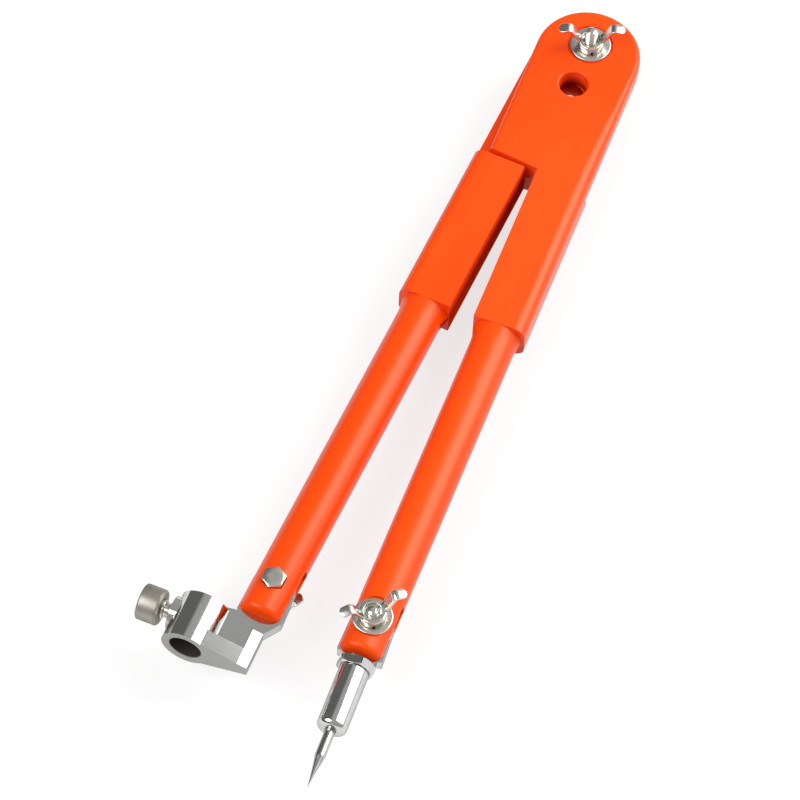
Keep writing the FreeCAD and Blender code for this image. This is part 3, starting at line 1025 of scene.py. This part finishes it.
@dataclass
class WingNut:
    """Pressed wing nut: turned body with a recess about the bolt, and two bent strip wings."""

    body_radius: float = 5.1
    height: float = 2.3
    recess_radius: float = 3.4
    recess_depth: float = 0.9
    recess_draft: float = 0.15
    bore_radius: float = 2.35
    width: float = 4.0
    thickness: float = 1.2
    edge: float = 0.28
    tip_round: float = 1.5
    tip_blunt: float = 0.002
    tip_steps: int = 8
    path_steps: int = 24
    corner_steps: int = 3
    path: tuple[tuple[float, float, float], ...] = (
        (2.6, 1.0, 0.0), (4.1, 1.75, 1.6), (8.25, 9.35, 1.4), (12.6, 8.2, 0.0))

    def wing(self, maker: MeshMaker, side: int) -> None:
        """One bent strip wing, its end rounded in plan.

        Args:
            maker: the mesh that takes it in.
            side: 1 or -1, for the one side or the other.
        """
        line = StripLine.through(eased(list(self.path), steps=6))
        total = line.lengths[-1]
        rings = []
        for place in self.stations(total):
            half = self.width / 2
            inwards = self.tip_round - (total - place)
            if inwards > 0:
                half -= self.tip_round - math.sqrt(max(self.tip_round ** 2 - inwards ** 2, 0))
            here, way = line.at(place), line.heading(place)
            rings.append([Vector((side * (here.x - way.y * v), side * u, here.y + way.x * v))
                          for u, v in self.section(half)])
        maker.loft(rings)

    def stations(self, total: float) -> list[float]:
        """Lengths along the strip, closer together at its rounded end.

        Args:
            total: the whole length.

        Returns:
            The lengths in rising order.
        """
        last = total - self.tip_blunt
        places = {total * step / self.path_steps for step in range(self.path_steps - 2)}
        for step in range(self.tip_steps + 1):
            ease = math.sin(math.pi / 2 * step / self.tip_steps)
            places.add(total - self.tip_round * (1 - ease))
        return sorted(place for place in places if place <= last) + [last]

    def section(self, half: float) -> list[tuple[float, float]]:
        """Round-cornered section of the strip, of a given half width.

        Args:
            half: half of the strip's width.

        Returns:
            Its points, across the width and through the thickness.
        """
        deep = self.thickness / 2 - self.edge
        points = []
        for sx, sy, start in ((1, 1, 0), (-1, 1, 90), (-1, -1, 180), (1, -1, 270)):
            for step in range(self.corner_steps + 1):
                angle = math.radians(start + 90 * step / self.corner_steps)
                points.append((sx * (half - self.edge) + self.edge * math.cos(angle),
                               sy * deep + self.edge * math.sin(angle)))
        return points

    def build(self, name: str, placement: Placement) -> bpy.types.Object:
        """Make the nut with its base at height 0.

        Args:
            name: the piece's name.
            placement: where its axes lie.

        Returns:
            The piece.
        """
        maker = MeshMaker()
        low, top, floor = 0.0, self.height, self.height - self.recess_depth
        maker.turned(eased([
            (low, self.bore_radius, 0), (low, self.body_radius, 0.2),
            (top, self.body_radius, 0.7), (top, self.recess_radius, 0.25),
            (floor, self.recess_radius - self.recess_draft, 0.2),
            (floor, self.bore_radius, 0), (low, self.bore_radius, 0)], steps=6))
        for side in (1, -1):
            self.wing(maker, side)
        return maker.build(name, placement, crisp_angle=40.0)


@dataclass(frozen=True)
class ScrewThread:
    """Ridge of a cut thread, its widths given as shares of the pitch."""

    pitch: float
    depth: float
    foot_share: float
    crest_share: float
    sunk: float
    root: float

    def add_to(self, maker: MeshMaker, core: float, start: float, run: float) -> None:
        """Wind the ridge round a core.

        Args:
            maker: the mesh that takes it in.
            core: radius of the core.
            start: height that it starts at.
            run: length that it covers.
        """
        ridge = HelixSweep(core + self.depth / 2 - self.sunk, run, run / self.pitch,
                           self.pitch * self.foot_share, self.pitch * self.crest_share,
                           self.depth + self.root).mesh()
        ridge.transform(Matrix.Translation((0, 0, start)))
        maker.add(ridge)


@dataclass
class HexBolt:
    """Hexagon bolt with a chamfered head, a threaded end and a domed tip."""

    seat: float
    end: float
    head_turn: float
    radius: float = 2.5
    clearance: float = 0.03
    flats: float = 8.0
    head_height: float = 3.5
    chamfer_angle: float = 30.0
    chamfer_steps: int = 4
    face_share: float = 0.84
    inner_share: float = 0.5
    shank_sunk: float = 0.2
    longest_thread: float = 14.0
    plain_neck: float = 1.0
    run_out: float = 0.4
    tip_length: float = 0.55
    tip_share: float = 0.45
    thread_start: float = 0.5
    thread_ends: float = 1.4
    thread: ScrewThread = ScrewThread(
        pitch=0.8, depth=0.36, foot_share=0.86, crest_share=0.16, sunk=0.06, root=0.1)

    def head(self, maker: MeshMaker) -> None:
        """Turn the chamfered head, cut to its flats.

        Args:
            maker: the mesh that takes it in.
        """
        corner = self.flats / math.sqrt(3)
        chamfer = math.tan(math.radians(self.chamfer_angle)) * (corner - self.flats / 2)
        face = self.flats / 2 * self.face_share
        low = self.seat - self.head_height
        rings = [(low, 0.0), (low, face * self.inner_share), (low, face)]
        for step in range(1, self.chamfer_steps + 1):
            rings.append((low + chamfer * step / self.chamfer_steps,
                          face + (corner - face) * step / self.chamfer_steps))
        rings += [(self.seat, corner), (self.seat, 0.0)]
        maker.turned(rings, ring=RingShape(self.flats, math.radians(self.head_turn)))

    def build(self, name: str, placement: Placement) -> bpy.types.Object:
        """Make the bolt.

        Args:
            name: the piece's name.
            placement: where its axes lie.

        Returns:
            The piece.
        """
        maker = MeshMaker()
        self.head(maker)
        core = self.radius - self.thread.depth
        shank = self.radius - self.clearance
        run = min(self.end - self.seat - self.plain_neck, self.longest_thread)
        start, foot = self.end - run, self.seat - self.shank_sunk
        maker.turned(eased([
            (foot, 0, 0), (foot, shank, 0), (start, shank, 0), (start + self.run_out, core, 0),
            (self.end - self.tip_length, core, 0.5), (self.end, core * self.tip_share, 0.6),
            (self.end, 0, 0)], steps=6), segments=48)
        self.thread.add_to(maker, core, start + self.thread_start, run - self.thread_ends)
        return maker.build(name, placement, crisp_angle=28.0)


@dataclass
class ClampSet:
    """Bolt, washers and wing nut of one clamped joint, in the nut's own direction."""

    name: str
    joint_name: str
    fixed_body: str
    bolt_body: str
    face: int
    wing_angle: float
    seat: float
    head_seat: float
    bolt_end: float
    washer_radius: float
    head_turn: float = 30.0
    washer_thickness: float = 1.2
    hole_radius: float = 2.7
    ring_radius: float = 4.6
    ring_thickness: float = 1.2
    ring_trim: float = 0.1
    ring_turns: float = 0.965
    ring_rise: float = 0.06
    split_angle: float = -70.0
    gap: float = 0.05
    nut: WingNut = field(default_factory=WingNut)

    def placement(self, height: float, angle: float = 0.0) -> Placement:
        """Placement at a height above the parting plane, on the nut's side.

        Args:
            height: the height.
            angle: turn about the bolt, in degrees.

        Returns:
            The placement.
        """
        lift = Vector((0, 0, self.face * height * MM))
        origin = Vector(joint(self.joint_name)["pos_m"]) + lift
        turn = math.radians(angle)
        return Placement.at(origin, UP * self.face, Vector((math.cos(turn), math.sin(turn), 0)))

    def flat_washer(self, node: str, height: float, body: str, paints: Paintbox) -> None:
        """Stamped washer: rounded on the side that the punch pressed in.

        Args:
            node: the CAD node that it stands for.
            height: height of its lower face.
            body: the body that it rides on.
            paints: the finishes.
        """
        maker = MeshMaker()
        hole, rim, thick = self.hole_radius, self.washer_radius, self.washer_thickness
        maker.turned(eased([
            (0, hole, 0), (0, rim, 0.12), (thick, rim, 0.42), (thick, hole, 0.3),
            (0, hole, 0)]), segments=128)
        piece = maker.build(f"{node}_body", self.placement(height), crisp_angle=50.0)
        paints.dress(piece, Finish.ZINC_STEEL, body, node)

    def spring_washer(self, node: str, height: float, paints: Paintbox) -> None:
        """Split spring washer, a wound square wire almost pressed flat.

        Args:
            node: the CAD node that it stands for.
            height: height of the space that it fills.
            paints: the finishes.
        """
        wire = self.ring_radius - self.hole_radius
        thick = self.ring_thickness - self.ring_trim
        ring = HelixSweep(self.hole_radius + wire / 2, self.ring_rise, self.ring_turns,
                          thick, thick, wire, steps=72).mesh()
        ring.transform(Matrix.Translation((0, 0, self.ring_thickness / 2)))
        maker = MeshMaker()
        maker.add(ring)
        piece = maker.build(f"{node}_body", self.placement(height, self.split_angle),
                            crisp_angle=30.0)
        paints.dress(piece, Finish.ZINC_STEEL, self.fixed_body, node)

    def build(self, paints: Paintbox) -> None:
        """Build the whole stack from the leg outwards.

        Args:
            paints: the finishes.
        """
        height = self.seat + self.gap
        self.flat_washer(f"{self.name}_washer", height, self.fixed_body, paints)
        height += self.washer_thickness + self.gap
        self.spring_washer(f"{self.name}_spring_washer", height, paints)
        height += self.ring_thickness + self.gap
        node = f"{self.name}_wing_nut"
        nut = self.nut.build(f"{node}_body", self.placement(height, self.wing_angle))
        paints.dress(nut, Finish.ZINC_STEEL, node, node)
        node = f"{self.name}_bolt"
        bolt = HexBolt(self.head_seat, self.bolt_end, self.head_turn)
        paints.dress(bolt.build(f"{node}_body", self.placement(0.0)),
                     Finish.ZINC_STEEL, self.bolt_body, node)


@dataclass
class NeedleEnd:
    """Sleeve and needle below the needle leg's holder."""

    sleeve_top: float = 19.32
    sleeve_end: float = 45.0
    sleeve_radius: float = 5.7
    hollow_radius: float = 3.6
    end_round: float = 2.2
    end_wall: float = 4.5
    needle_radius: float = 2.0
    needle_clearance: float = 0.1
    head_radius: float = 3.5
    head_height: float = 1.5
    head_play: float = 0.05
    shank: float = 10.8
    point: float = 13.0
    point_steps: int = 20
    shoulder_chamfer: float = 0.3
    tip_radius: float = 0.08
    middle_radius: float = 0.9

    def placement(self) -> Placement:
        """Own Z axis down the needle from the knee bolt."""
        turn = joint("needle_sleeve_turn")
        return Placement.at(Vector(turn["pos_m"]), Vector(turn["axis"]), UP)

    def sleeve(self, floor: float) -> bpy.types.Object:
        """Hollow sleeve with a rounded end, whose inner floor lies at a given height.

        Args:
            floor: height of the inner floor.

        Returns:
            The piece.
        """
        maker = MeshMaker()
        top, end, inner = self.sleeve_top, self.sleeve_end, self.hollow_radius
        hole = self.needle_radius + self.needle_clearance
        maker.turned(eased([
            (top, inner, 0), (top, self.sleeve_radius, 0.35),
            (end, self.sleeve_radius, self.end_round), (end, hole, 0.25),
            (floor, hole, 0), (floor, inner, 0), (top, inner, 0)], steps=12), segments=128)
        return maker.build("needle_sleeve_body", self.placement(), crisp_angle=40.0)

    def needle(self, floor: float) -> bpy.types.Object:
        """Needle with its head on the sleeve's floor and a long hollow-ground point.

        Args:
            floor: height of the sleeve's inner floor.

        Returns:
            The piece.
        """
        maker = MeshMaker()
        radius, low = self.needle_radius, floor - self.head_play
        top = low - self.head_height
        shoulder = self.sleeve_end + self.shank
        profile = [(top, 0, 0), (top, self.head_radius, 0.2), (low, self.head_radius, 0.2),
                   (low, radius, 0), (shoulder - self.shoulder_chamfer, radius, 0)]
        hollow = self.middle_radius - (radius + self.tip_radius) / 2
        for step in range(self.point_steps + 1):
            share = step / self.point_steps
            straight = radius + (self.tip_radius - radius) * share
            bulge = 4 * share * (1 - share) * hollow
            profile.append((shoulder + self.point * share, straight + bulge, 0))
        profile.append((shoulder + self.point, 0, 0))
        maker.turned(eased(profile), segments=64)
        return maker.build("needle_body", self.placement(), crisp_angle=30.0)

    def build(self, paints: Paintbox) -> None:
        """Build both pieces.

        Args:
            paints: the finishes.
        """
        floor = self.sleeve_end - self.end_wall
        paints.dress(self.sleeve(floor), Finish.CHROME_CASTING, "needle_sleeve", "needle_sleeve")
        paints.dress(self.needle(floor), Finish.NEEDLE_STEEL, "needle_holder", "needle")


@dataclass
class ThumbScrew:
    """Threaded screw with a turned knob at the pencil clamp."""

    drop: float = 23.3
    barrel_offset: float = 19.9
    barrel_radius: float = 9.4
    bore_radius: float = 6.0
    boss: float = 0.8
    gap: float = 3.7
    end_clearance: float = 0.3
    screw_radius: float = 3.0
    shank_clearance: float = 0.05
    face_step: float = 0.05
    root_depth: float = 6.0
    neck_radius: float = 3.8
    neck_length: float = 0.9
    neck_step: float = 0.1
    thread_start: float = 0.35
    thread_ends: float = 0.6
    knob_radius: float = 6.9
    knob_length: float = 8.5
    groove_depth: float = 0.12
    end_groove: tuple[float, float, float] = (2.2, 2.0, 0.75)
    side_groove: tuple[float, float, float] = (0.45, 0.32, 0.2)
    rim_length: float = 0.6
    shoulder_length: float = 0.7
    shoulder_drop: float = 0.7
    thread: ScrewThread = ScrewThread(
        pitch=1.0, depth=0.5, foot_share=0.84, crest_share=0.14, sunk=0.05, root=0.08)

    def placement(self) -> Placement:
        """Own Z axis inwards along the screw, from the knob's inner face.

        Returns:
            The placement.
        """
        inwards = Vector(joint("thumb_screw_travel")["axis"])
        down = Vector((inwards.y, -inwards.x, 0))
        face = self.barrel_offset + self.barrel_radius + self.boss + self.gap
        origin = Vector(joint("pencil_knee")["pos_m"]) + (down * self.drop - inwards * face) * MM
        return Placement.at(origin, inwards, UP)

    def screw(self) -> bpy.types.Object:
        """Screw whose plain root sits in the knob.

        Returns:
            The piece.
        """
        maker = MeshMaker()
        core = self.screw_radius - self.thread.depth
        shank = self.screw_radius - self.shank_clearance
        end = self.gap + self.boss + self.barrel_radius - self.bore_radius - self.end_clearance
        root, step = -self.root_depth, self.face_step
        maker.turned(eased([
            (root, 0, 0), (root, shank, 0), (-step, shank, 0), (step, self.neck_radius, 0.15),
            (self.neck_length, self.neck_radius, 0.25),
            (self.neck_length + self.neck_step, core, 0), (end, core, 0.4), (end, 0, 0)]),
            segments=64)
        self.thread.add_to(maker, core, self.neck_length + self.thread_start,
                           end - self.neck_length - self.thread_ends)
        return maker.build("thumb_screw_body", self.placement(), crisp_angle=28.0)

    def knob(self) -> bpy.types.Object:
        """Knob with a groove in its end, a broken rim and a groove before its shoulder.

        Returns:
            The piece.
        """
        maker = MeshMaker()
        low, radius = -self.knob_length, self.knob_radius
        shoulder, root = -self.shoulder_length, -self.root_depth
        bore = self.screw_radius + self.shank_clearance
        inner, deepest, outer = (radius - place for place in self.end_groove)
        start, middle, end = (shoulder - place for place in self.side_groove)
        maker.turned(eased([
            (low, 0, 0), (low, inner, 0), (low + self.groove_depth, deepest, 0),
            (low, outer, 0.2), (low + self.rim_length, radius, 0.35),
            (start, radius, 0.15), (middle, radius - self.groove_depth, 0),
            (end, radius, 0.15), (shoulder, radius, 0.2),
            (0, radius - self.shoulder_drop, 0.3), (0, bore, 0), (root, bore, 0),
            (root, 0, 0)]), segments=128)
        return maker.build("thumb_screw_knob_body", self.placement(), crisp_angle=40.0)

    def build(self, paints: Paintbox) -> None:
        """Build screw and knob."""
        paints.dress(self.screw(), Finish.ZINC_STEEL, "thumb_screw", "thumb_screw")
        paints.dress(self.knob(), Finish.NICKEL_KNOB, "thumb_screw", "thumb_screw_knob")


# Studio -------------------------------------------------------------------------

@dataclass(frozen=True)
class SoftLamp:
    """A rectangular lamp: its place and sides in metres, its power in watts."""

    name: str
    place: tuple[float, float, float]
    sides: tuple[float, float]
    power: float

    def hang(self, aim: Vector) -> None:
        """Hang the lamp and turn it to a point.

        Args:
            aim: the point, in metres.
        """
        data = bpy.data.lights.new(self.name, "AREA")
        data.shape = "RECTANGLE"
        data.size, data.size_y = self.sides
        data.energy = self.power
        turn = (aim - Vector(self.place)).to_track_quat("-Z", "Y").to_matrix().to_4x4()
        fresh_object(self.name, data).matrix_world = Matrix.Translation(self.place) @ turn


@dataclass
class Studio:
    """Floor, light and camera, in metres."""

    floor_height: float = -0.0200
    floor_reach: float = 4.0
    floor_tone: float = 0.31
    floor_glow: float = 0.71
    sky_colour: tuple[float, float, float] = (1.0, 0.99, 0.97)
    sky_left: float = 0.160
    sky_right: float = 0.47
    sky_change: tuple[float, float] = (-0.36, -0.14)
    lamp_aim: tuple[float, float, float] = (0.0, -0.12, 0.0)
    lamps: tuple[SoftLamp, ...] = (
        SoftLamp("key", (0.76, 0.62, 0.86), (0.75, 1.2), 12.0),
        SoftLamp("wall", (0.917, 0.654, 0.747), (1.70, 1.32), 9.0),
        SoftLamp("fill", (-0.9, -0.9, 1.3), (1.2, 1.2), 20.0))
    image_focal: float = 4965.56
    image_side: float = 800.0
    sensor: float = 36.0
    far_limit: float = 20.0
    camera_place: tuple[float, float, float] = (0.27598, -1.05061, 1.58987)
    camera_target: tuple[float, float, float] = (-0.01571, -0.14735, -0.00873)
    camera_roll: float = 3.085

    def camera(self) -> None:
        """Create the scene's camera."""
        data = bpy.data.cameras.new("camera")
        data.sensor_width = self.sensor
        data.lens = self.image_focal * self.sensor / self.image_side
        data.clip_end = self.far_limit
        camera = fresh_object("camera", data)
        place, target = Vector(self.camera_place), Vector(self.camera_target)
        forward = (target - place).normalized()
        right = forward.cross(UP).normalized()
        up = right.cross(forward)
        roll = math.radians(self.camera_roll)
        right, up = (math.cos(roll) * right + math.sin(roll) * up,
                     -math.sin(roll) * right + math.cos(roll) * up)
        turn = Matrix((right, up, -forward)).transposed().to_4x4()
        camera.matrix_world = Matrix.Translation(place) @ turn
        bpy.context.scene.camera = camera

    def floor(self) -> None:
        """Lay the pale floor, whose glow only the camera and the mirrors see."""
        reach, height = self.floor_reach, self.floor_height
        mesh = bpy.data.meshes.new("floor")
        mesh.from_pydata([(-reach, -reach, height), (reach, -reach, height),
                          (reach, reach, height), (-reach, reach, height)], [], [(0, 1, 2, 3)])
        shader = Shader("pale floor")
        rays = [shader.node("ShaderNodeLightPath", output=name)
                for name in ("Is Camera Ray", "Is Glossy Ray", "Is Transmission Ray")]
        seen = rays[0] + rays[1] + rays[2]
        tone = (self.floor_tone, self.floor_tone, self.floor_tone, 1.0)
        paint = shader.node("ShaderNodeBsdfDiffuse", {}, {"Color": tone})
        glow = shader.node("ShaderNodeEmission", {}, {
            "Color": (1.0, 1.0, 1.0, 1.0), "Strength": seen * self.floor_glow})
        both = shader.node("ShaderNodeAddShader", {}, {0: paint, 1: glow})
        shader.node("ShaderNodeOutputMaterial", {}, {"Surface": both})
        mesh.materials.append(shader.material)
        fresh_object("floor", mesh)

    def world(self) -> None:
        """A dim surround, lighter on the right."""
        world = bpy.data.worlds.new("surround")
        shader = Shader("surround", world)
        way = shader.node("ShaderNodeTexCoord", output="Generated")
        across = shader.node("ShaderNodeSeparateXYZ", {}, {"Vector": way}, "X")
        rise = self.sky_right - self.sky_left
        level = self.sky_left + rise * shader.ramp(across, *self.sky_change)
        sky = shader.node("ShaderNodeBackground", {}, {
            "Color": (*self.sky_colour, 1.0), "Strength": level})
        shader.node("ShaderNodeOutputWorld", {}, {"Surface": sky})
        bpy.context.scene.world = world

    def build(self) -> None:
        """Set the whole studio."""
        self.floor()
        self.world()
        for lamp in self.lamps:
            lamp.hang(Vector(self.lamp_aim))
        self.camera()
        bpy.context.scene.view_settings.view_transform = "Standard"


def main() -> None:
    """Build the compass in its studio."""
    logging.basicConfig(level=logging.INFO, format="%(name)s: %(message)s")
    paints = Paintbox()
    Legs().build(paints)
    SoftenedNode("needle_holder", Finish.CHROME_CASTING, edge=0.3).build(paints)
    PencilHolder().build(paints)
    pivot = ClampSet("pivot", "leg_hinge", "needle_leg", "pencil_leg", face=1, wing_angle=20.0,
                     seat=7.95, head_seat=-9.25, bolt_end=18.0, washer_radius=8.0)
    pivot.build(paints)
    for name, leg, face, wing_angle, head_turn in (
            ("needle_knee", "needle_leg", 1, 41.0, 30.0),
            ("pencil_knee", "pencil_leg", -1, 233.92, 34.08)):
        ClampSet(name, name, leg, leg, face, wing_angle, seat=7.0, head_seat=-6.2,
                 bolt_end=12.75, washer_radius=7.5, head_turn=head_turn).build(paints)
    pivot.flat_washer("pivot_back_washer", height=-9.2, body="pencil_leg", paints=paints)
    NeedleEnd().build(paints)
    ThumbScrew().build(paints)
    Studio().build()


if __name__ == "__main__":
    main()
